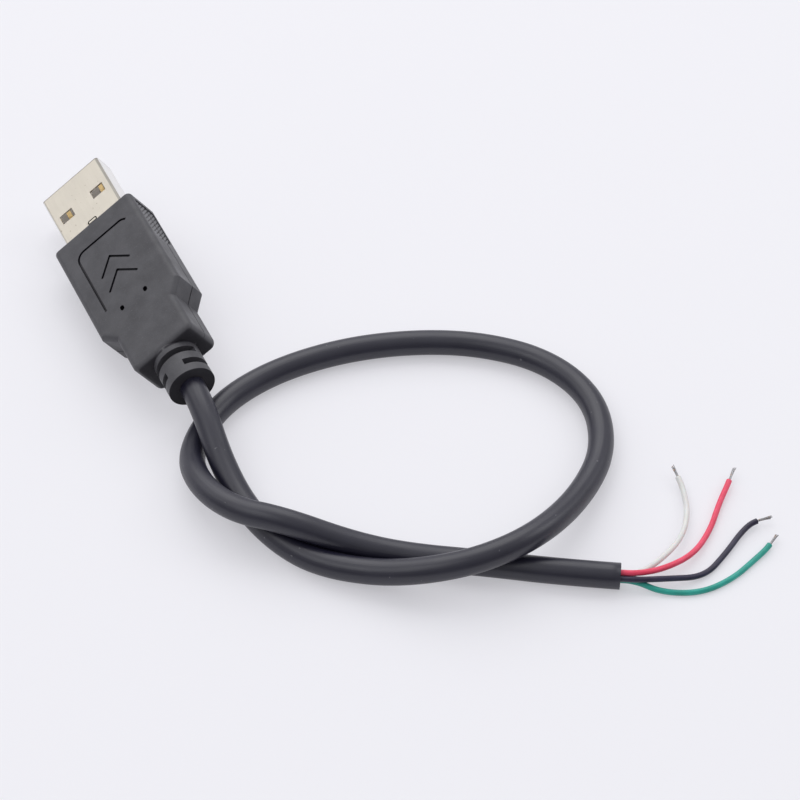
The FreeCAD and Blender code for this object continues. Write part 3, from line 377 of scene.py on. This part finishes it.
class Finish:
    """One procedural material and the few steps that its nodes are made of."""

    def __init__(self, name, colour, roughness, metallic=0.0):
        self.material = bpy.data.materials.new(name)
        self.material.use_nodes = True
        self.tree = self.material.node_tree
        self.shader = self.tree.nodes["Principled BSDF"]
        self.shader.inputs["Base Color"].default_value = (*colour, 1.0)
        self.shader.inputs["Roughness"].default_value = roughness
        self.shader.inputs["Metallic"].default_value = metallic
        self.coords = self.node("TexCoord")

    def node(self, kind):
        """A new node of the given kind."""
        return self.tree.nodes.new("ShaderNode" + kind)

    def link(self, out, into):
        """A link from one socket into another."""
        self.tree.links.new(out, into)

    def place(self, scale=(1, 1, 1), source="Object", plug=False):
        """Coordinates, scaled; those of the plug are first turned into its own
        frame."""
        out = self.coords.outputs[source]
        if plug:
            turn = self.node("Mapping")
            turn.vector_type = "TEXTURE"
            turn.inputs["Location"].default_value = PLUG_FACE
            turn.inputs["Rotation"].default_value = (0.0, PLUG_ROLL, 0.0)
            self.link(out, turn.inputs["Vector"])
            out = turn.outputs["Vector"]
        scaled = self.node("Mapping")
        scaled.inputs["Scale"].default_value = scale
        self.link(out, scaled.inputs["Vector"])
        return scaled.outputs["Vector"]

    def noise(self, where, scale, detail=3.0, roughness=0.5):
        """Cloudy values round a half, at so many to the metre."""
        node = self.node("TexNoise")
        node.inputs["Scale"].default_value = scale
        node.inputs["Detail"].default_value = detail
        node.inputs["Roughness"].default_value = roughness
        self.link(where, node.inputs["Vector"])
        return node.outputs["Fac"]

    def math(self, step, a, b=None, c=None):
        """One step of arithmetic on sockets and numbers."""
        node = self.node("Math")
        node.operation = step
        for socket, value in zip(node.inputs, (a, b, c)):
            if isinstance(value, (int, float)):
                socket.default_value = value
            elif value is not None:
                self.link(value, socket)
        return node.outputs["Value"]

    def split(self, where):
        """The x, y and z of coordinates."""
        node = self.node("SeparateXYZ")
        self.link(where, node.inputs["Vector"])
        return node.outputs

    def stretch(self, value, low, high, to_low=0.0, to_high=1.0):
        """value carried from low..high to to_low..to_high, and held there."""
        node = self.node("MapRange")
        node.inputs["From Min"].default_value = low
        node.inputs["From Max"].default_value = high
        node.inputs["To Min"].default_value = to_low
        node.inputs["To Max"].default_value = to_high
        self.link(value, node.inputs["Value"])
        return node.outputs["Result"]

    def above(self, value, low, high):
        """A mask that rises from 0 at low to 1 at high, in millimetres."""
        return self.stretch(value, low * MM, high * MM)

    def below(self, value, low, high):
        """A mask that falls from 1 at low to 0 at high, in millimetres."""
        return self.stretch(value, low * MM, high * MM, 1.0, 0.0)

    def away(self, value, middle=0.0):
        """How far a value is from a middle, in millimetres, on either side."""
        return self.math("ABSOLUTE", self.math("SUBTRACT", value, middle * MM))

    def chain(self, step, first, *others):
        """The same step of arithmetic over several masks."""
        for other in others:
            first = self.math(step, first, other)
        return first

    def all_of(self, *masks):
        """Where every mask is set."""
        return self.chain("MULTIPLY", *masks)

    def any_of(self, *masks):
        """Where at least one mask is set."""
        return self.chain("MAXIMUM", *masks)

    def mean(self, a, b, share=0.5):
        """A share of one value and the rest of another."""
        return self.math("ADD", self.math("MULTIPLY", a, share),
                         self.math("MULTIPLY", b, 1.0 - share))

    def blend(self, amount, low, high):
        """A colour between two others."""
        # this node's colour sockets share their names with others: by number
        node = self.node("Mix")
        node.data_type = "RGBA"
        for socket, value in ((node.inputs[6], low), (node.inputs[7], high)):
            if isinstance(value, tuple):
                socket.default_value = (*value, 1.0)
            else:
                self.link(value, socket)
        self.link(amount, node.inputs[0])
        return node.outputs[2]

    def colour(self, base, *coats):
        """The base colour, with coats over it: pairs of a mask and a colour."""
        for mask, coat in coats:
            base = self.blend(mask, base, coat)
        self.link(base, self.shader.inputs["Base Color"])

    def roughness(self, out):
        """The shader's roughness."""
        self.link(out, self.shader.inputs["Roughness"])

    def relief(self, *heights):
        """Bumps one after another: pairs of a height and its depth in
        millimetres."""
        last = None
        for height, depth in heights:
            node = self.node("Bump")
            node.inputs["Strength"].default_value = 1.0
            node.inputs["Distance"].default_value = depth * MM
            self.link(height, node.inputs["Height"])
            if last is not None:
                self.link(last, node.inputs["Normal"])
            last = node.outputs["Normal"]
        self.link(last, self.shader.inputs["Normal"])


def nickel_finish():
    """Satin nickel plate: fine rolling marks along the plug, faint cloudy
    patches and small handling specks; painted shade on one fold, which is
    also rougher, and along the mouth's edge; painted light on the inside,
    the narrow sides and the other fold; and painted shade in the pressed
    oval."""
    f = Finish("satin_nickel", (0.60, 0.56, 0.49), roughness=0.34, metallic=1.0)
    where = f.place(plug=True)
    marks = f.noise(f.place((9000, 260, 9000), plug=True), 1.0, detail=2.0)
    cloud = f.noise(where, 420.0)
    speck = f.stretch(f.noise(where, 2300.0, detail=1.0), 0.73, 0.79)
    x, y, z = f.split(where)
    across, height = f.away(x), f.away(z)
    # painted shade: a dark line along the mouth's edge
    mouth = f.above(y, 12.36, 12.44)
    # painted shade on the right fold, which is also made rougher
    dull_shaded_fold = f.all_of(f.above(x, 5.50, 5.62), f.above(height, 1.75, 1.88))
    # painted light: the narrow sides and the left fold made bright
    lit_sides_and_fold = f.any_of(f.above(across, 5.93, 5.97), f.below(x, -5.78, -5.66))
    # painted light: the inside faces and the windows' cut walls made bright
    inside = f.all_of(f.below(across, 5.70, 5.74), f.below(height, 2.16, 2.20))
    # painted shade: near black in the pressed oval's groove
    oval = f.all_of(f.below(across, 0.97, 1.03), f.below(f.away(y, 1.8), 0.42, 0.46))
    pressed = f.all_of(oval, f.below(z, 2.20, 2.24), f.above(z, 1.96, 2.0))
    f.colour(f.blend(cloud, (0.56, 0.52, 0.445), (0.63, 0.59, 0.52)),
             (speck, (0.30, 0.25, 0.19)),
             (f.math("MULTIPLY", dull_shaded_fold, 0.75), (0.30, 0.29, 0.27)),
             (f.any_of(lit_sides_and_fold, inside), (0.88, 0.87, 0.85)),
             (mouth, (0.14, 0.12, 0.10)),
             (pressed, (0.025, 0.022, 0.016)))
    satin = f.stretch(f.mean(marks, cloud, 0.6), 0.35, 0.65, 0.28, 0.46)
    f.roughness(f.math("MULTIPLY_ADD", dull_shaded_fold, 0.25, satin))
    f.relief((cloud, 0.02), (marks, 0.004))
    return f.material


def moulded_finish():
    """Soft dark moulding with an eroded grain and rubbed lighter patches;
    painted shade in its engraved lines, between its ribs, in its parting
    line and on the ends round the relief, and painted highlights on the
    rib tops."""
    f = Finish("soft_moulding", (0.056, 0.055, 0.062), roughness=0.50)
    where = f.place(plug=True)
    grain = f.noise(where, 5200.0, detail=2.0, roughness=0.6)
    rub = f.noise(where, 260.0, detail=4.0, roughness=0.6)
    x, y, z = f.split(where)
    across, height = f.away(x), f.away(z)
    # painted shade in the engraved lines: just under the marked face and away from its edges,
    # so grooves and holes only
    sunk = f.all_of(f.below(z, 3.80, 3.88), f.above(z, 3.0, 3.1))
    on_face = f.all_of(f.below(across, 6.3, 6.4),
                       f.above(y, -20.5, -20.4), f.below(y, -0.9, -0.8))
    engraved = f.all_of(sunk, on_face)
    # painted shade in the parting line, off the slanted step
    parting = f.all_of(f.below(f.away(z, -0.5), 0.08, 0.12), f.above(across, 5.2, 5.4),
                       f.above(f.away(y, -22.4), 1.2, 1.3))
    # the ribs in the side recesses: painted shade between them, painted highlight on top
    in_recess = f.all_of(f.below(height, 2.6, 2.7),
                         f.above(y, -10.5, -10.4), f.below(y, -1.4, -1.3))
    between = f.all_of(in_recess, f.below(across, 7.90, 7.945))
    lit_rib_tops = f.all_of(in_recess, f.above(across, 7.94, 7.948))
    # painted shade on the neck's back round the relief and on the relief's end, which are also
    # made rougher
    neck_back = f.all_of(f.below(f.away(y, -31.3), 0.10, 0.30),
                         f.above(f.math("ADD", across, height), 3.85, 4.2))
    shaded_rough_ends = f.any_of(neck_back, f.below(y, -37.66, -37.60))
    # painted shade, near black: in the grooves, between the ribs, in the parting line and on
    # the ends
    painted_shade = f.any_of(engraved, between, f.math("MULTIPLY", parting, 0.7),
                    f.math("MULTIPLY", shaded_rough_ends, 0.85))
    f.colour(f.blend(f.stretch(rub, 0.35, 0.70), (0.054, 0.053, 0.060), (0.073, 0.072, 0.081)),
             (f.stretch(grain, 0.60, 0.80), (0.100, 0.099, 0.108)),
             # painted highlight on the rib tops
             (f.math("MULTIPLY", lit_rib_tops, 0.6), (0.13, 0.13, 0.14)),
             # the painted shade's colour
             (painted_shade, (0.006, 0.005, 0.010)))
    f.roughness(f.math("MULTIPLY_ADD", shaded_rough_ends, 0.25, f.stretch(rub, 0.3, 0.7, 0.56, 0.42)))
    f.relief((grain, 0.016))
    return f.material


def jacket_finish():
    """Extruded jacket: faint draw lines along it, a soft sheen, slow swells
    in its surface, and a few pale dust specks."""
    f = Finish("cord_jacket", (0.012, 0.011, 0.025), roughness=0.37)
    where = f.place()
    lines = f.noise(f.place((18, 3600, 1), "UV"), 1.0, detail=2.0)
    swell = f.noise(where, 190.0, detail=2.0)
    fine = f.noise(where, 3600.0, detail=2.0)
    dust = f.stretch(f.noise(where, 1500.0, detail=1.0), 0.76, 0.80)
    f.colour(f.blend(swell, (0.008, 0.0075, 0.019), (0.015, 0.0145, 0.030)),
             (dust, (0.10, 0.10, 0.115)))
    f.roughness(f.stretch(f.mean(lines, swell), 0.35, 0.65, 0.31, 0.43))
    f.relief((swell, 0.05), (lines, 0.010), (fine, 0.004))
    f.shader.inputs["Specular IOR Level"].default_value = 0.70
    return f.material


def insulation_finish(name, dark, light):
    """Thin extruded insulation: draw lines, faint colour drift and a gloss."""
    f = Finish(name, light, roughness=0.30)
    lines = f.noise(f.place((40, 9000, 1), "UV"), 1.0, detail=2.0)
    drift = f.noise(f.place(), 420.0)
    f.colour(f.blend(f.stretch(drift, 0.35, 0.65), dark, light))
    f.roughness(f.stretch(lines, 0.3, 0.7, 0.25, 0.39))
    f.relief((drift, 0.02), (lines, 0.004))
    f.shader.inputs["Subsurface Weight"].default_value = 0.08
    f.shader.inputs["Subsurface Scale"].default_value = 0.4 * MM
    return f.material


def strand_finish():
    """Tinned copper: grey tin with copper showing where it is rubbed."""
    f = Finish("tinned_strands", (0.38, 0.37, 0.37), roughness=0.30, metallic=1.0)
    rub = f.noise(f.place(), 2600.0)
    f.colour(f.blend(f.stretch(rub, 0.56, 0.70), (0.36, 0.36, 0.37), (0.46, 0.30, 0.22)))
    f.roughness(f.stretch(rub, 0.3, 0.7, 0.18, 0.32))
    return f.material


def carrier_finish():
    """Grey contact carrier: hard moulding with a faint flow pattern."""
    f = Finish("grey_carrier", (0.85, 0.81, 0.77), roughness=0.42)
    flow = f.noise(f.place((900, 200, 900), plug=True), 1.0)
    grain = f.noise(f.place(), 7000.0, detail=2.0)
    f.colour(f.blend(flow, (0.80, 0.76, 0.72), (0.90, 0.86, 0.82)))
    f.roughness(f.stretch(flow, 0.3, 0.7, 0.42, 0.55))
    f.relief((grain, 0.006))
    return f.material


def gold_finish():
    """Gold-plated strip: rolled along its length and slightly dished."""
    f = Finish("gold_plate", (1.0, 0.73, 0.33), roughness=0.33, metallic=1.0)
    rolled = f.noise(f.place((9000, 300, 9000), plug=True), 1.0, detail=2.0)
    dished = f.noise(f.place((1500, 700, 1500), plug=True), 1.0, detail=1.0)
    f.colour(f.blend(rolled, (1.0, 0.68, 0.27), (1.0, 0.82, 0.46)))
    f.roughness(f.stretch(rolled, 0.3, 0.7, 0.26, 0.40))
    f.relief((dished, 0.12), (rolled, 0.003))
    return f.material


def solder_finish():
    """Dull solder with a crystalline skin."""
    f = Finish("dull_solder", (0.62, 0.63, 0.65), roughness=0.42, metallic=1.0)
    skin = f.noise(f.place(), 3800.0, detail=4.0, roughness=0.65)
    f.colour(f.blend(skin, (0.50, 0.51, 0.53), (0.74, 0.75, 0.77)))
    f.roughness(f.stretch(skin, 0.3, 0.7, 0.34, 0.55))
    f.relief((skin, 0.02))
    return f.material


def natural_finish():
    """Uncoloured inner moulding: waxy, faintly clouded."""
    f = Finish("natural_moulding", (0.72, 0.71, 0.66), roughness=0.50)
    cloud = f.noise(f.place(), 380.0)
    f.colour(f.blend(cloud, (0.62, 0.61, 0.56), (0.80, 0.79, 0.74)))
    f.roughness(f.stretch(cloud, 0.3, 0.7, 0.42, 0.58))
    f.relief((cloud, 0.03))
    return f.material


def surface_finish():
    """Pale matt surface that the lead lies on, even to within two hundredths.
    Part of what is seen of it is its plain colour, which keeps shadows faint."""
    f = Finish("pale_surface", (0.86, 0.86, 0.89), roughness=0.75)
    drift = f.noise(f.place(), 14.0, detail=2.0)
    f.colour(f.blend(drift, (0.852, 0.853, 0.886), (0.868, 0.868, 0.897)))
    plain = f.node("Emission")
    plain.inputs["Color"].default_value = SURFACE_PLAIN
    seen = f.node("LightPath").outputs
    in_view = f.any_of(seen["Is Camera Ray"], seen["Is Glossy Ray"])
    both = f.node("MixShader")
    f.link(f.math("MULTIPLY", in_view, SURFACE_PLAIN_SHARE), both.inputs[0])
    f.link(f.shader.outputs["BSDF"], both.inputs[1])
    f.link(plain.outputs["Emission"], both.inputs[2])
    f.link(both.outputs["Shader"], f.tree.nodes["Material Output"].inputs["Surface"])
    return f.material


# --------------------------------------------------------------- the pieces

def dress(piece, material):
    """Give a piece one finish in place of those it has."""
    piece.data.materials.clear()
    piece.data.materials.append(material)


def stand_in(piece, material, node):
    """Finish a drawn piece and show it in place of its solid."""
    dress(piece, material)
    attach(piece, "root")
    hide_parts(node)


def make_jacket():
    """The cord's sheath on its route's spline, with its bore open at the cut."""
    line = spline_line("cord_route", CORD_ROUTE)
    sheath = cord_sheath("cord_sheath", line)
    stand_in(sheath, jacket_finish(), "cable_jacket")
    return sheath, line


def wire_line(colour, cord_line):
    """A wire's line: beside the cord's line inside it, then on its own spline."""
    degrees, _, route = WIRE_ROUTES[colour]
    turn = math.radians(degrees)
    side, top, heading = side_top_heading(cord_line)
    beside = cord_line + BUNDLE_RADIUS * (math.cos(turn) * side + math.sin(turn) * top)
    mouth, ahead = beside[-1], heading[-1]
    along = distance_along(cord_line)
    controls = np.vstack([*(mouth - ahead * before for before in WIRE_STARTS),
                          mouth + ahead * WIRE_LEAD, np.array(route) * MM])
    return np.vstack([beside[along < along[-1] - WIRE_LEAVES],
                      spline_line(colour + "_route", controls)])


def make_wire(colour, cord_line, material, strands):
    """One wire: its insulation, which stops short of the end, and the twisted
    strands that come out of it."""
    line = wire_line(colour, cord_line)
    along = distance_along(line)
    strip = along[-1] - WIRE_ROUTES[colour][1] * MM
    covered = np.vstack([line[along < strip - NEXT_POINT], at_distance(line, [strip])])
    wire = wire_rod(colour + "_wire", covered)
    stand_in(wire, material, "wire_" + colour)
    bare = at_distance(line, np.linspace(strip - STRAND_HIDDEN, along[-1], STRAND_STEPS))
    tips = twisted_strands(colour + "_strands", bare, STRAND_SEEDS[colour])
    stand_in(tips, strands, "conductor_" + colour)
    return wire, tips, covered


def dress_plug(nodes):
    """Finishes of the pieces that keep their solid's shape."""
    nickel, moulding, carrier = nickel_finish(), moulded_finish(), carrier_finish()
    gold, solder, natural = gold_finish(), solder_finish(), natural_finish()
    for name, finish in (("plug_shell", nickel), ("overmould", moulding),
                         ("contact_insulator", carrier), ("contact_retainer", carrier),
                         ("inner_mould", natural)):
        dress(nodes[name], finish)
    for contact in ("power", "data_minus", "data_plus", "ground"):
        dress(nodes["contact_" + contact], gold)
        dress(nodes["solder_" + contact], solder)


# ---------------------------------------------------- the camera and lights

def set_axes(thing, right, up, back, where):
    """Place a thing by its own axes and its middle."""
    place = np.eye(4)
    place[:3, 0], place[:3, 1], place[:3, 2], place[:3, 3] = right, up, back, where
    thing.matrix_world = Matrix(place.tolist())


def add_camera():
    """The photograph's camera."""
    data = bpy.data.cameras.new("photo_camera")
    data.sensor_width = SENSOR_WIDTH
    data.lens = FOCAL_LENGTH_PX / PICTURE_WIDTH_PX * SENSOR_WIDTH
    data.clip_start = NEAR_CLIP
    data.clip_end = FAR_CLIP
    camera = in_scene("photo_camera", data)
    set_axes(camera, CAMERA_RIGHT, np.cross(CAMERA_RIGHT, CAMERA_VIEW), -CAMERA_VIEW,
             CAMERA_PLACE)
    bpy.context.scene.camera = camera


def add_lamp(name, where, aim, side, power, colour):
    """A square soft lamp that faces its aim."""
    data = bpy.data.lights.new(name, "AREA")
    data.shape = "RECTANGLE"
    data.size = data.size_y = side
    data.energy = power
    data.color = colour
    back = np.array(where) - np.array(aim)
    back /= np.linalg.norm(back)
    right = np.cross((0.0, 0.0, 1.0), back)
    right /= np.linalg.norm(right)
    set_axes(in_scene(name, data), right, np.cross(back, right), back, where)


def add_surface():
    """The pale surface that the lead lies on."""
    r = SURFACE_REACH
    mesh = bpy.data.meshes.new("surface")
    mesh.from_pydata([(-r, -r, 0), (r, -r, 0), (r, r, 0), (-r, r, 0)], [], [(0, 1, 2, 3)])
    surface = in_scene("surface", mesh)
    dress(surface, surface_finish())


def add_room():
    """The soft light of the room."""
    world = bpy.data.worlds.new("room")
    world.use_nodes = True
    tree = world.node_tree
    light = tree.nodes["Background"]
    light.inputs["Color"].default_value = ROOM_COLOUR
    coords = tree.nodes.new("ShaderNodeTexCoord")
    toward = tree.nodes.new("ShaderNodeVectorMath")
    toward.operation = "DOT_PRODUCT"
    toward.inputs[1].default_value = ROOM_PALE_SIDE
    rise = tree.nodes.new("ShaderNodeMapRange")
    rise.inputs["From Min"].default_value = ROOM_DIM_FROM
    rise.inputs["To Min"].default_value = ROOM_DIM
    rise.inputs["To Max"].default_value = ROOM_PALE
    tree.links.new(coords.outputs["Generated"], toward.inputs[0])
    tree.links.new(toward.outputs["Value"], rise.inputs["Value"])
    tree.links.new(rise.outputs["Result"], light.inputs["Strength"])
    bpy.context.scene.world = world


def main():
    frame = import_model()
    bpy.context.scene.view_settings.view_transform = "Standard"
    add_camera()

    strands = strand_finish()
    sheath, line = make_jacket()
    insulation = {colour: insulation_finish(colour + "_insulation", *shades)
                  for colour, shades in WIRE_SHADES.items()}
    wires = [make_wire(colour, line, insulation[colour], strands) for colour in WIRE_ROUTES]
    dress_plug(frame["nodes"])
    add_surface()
    add_room()
    for lamp in LAMPS:
        add_lamp(*lamp)


main()
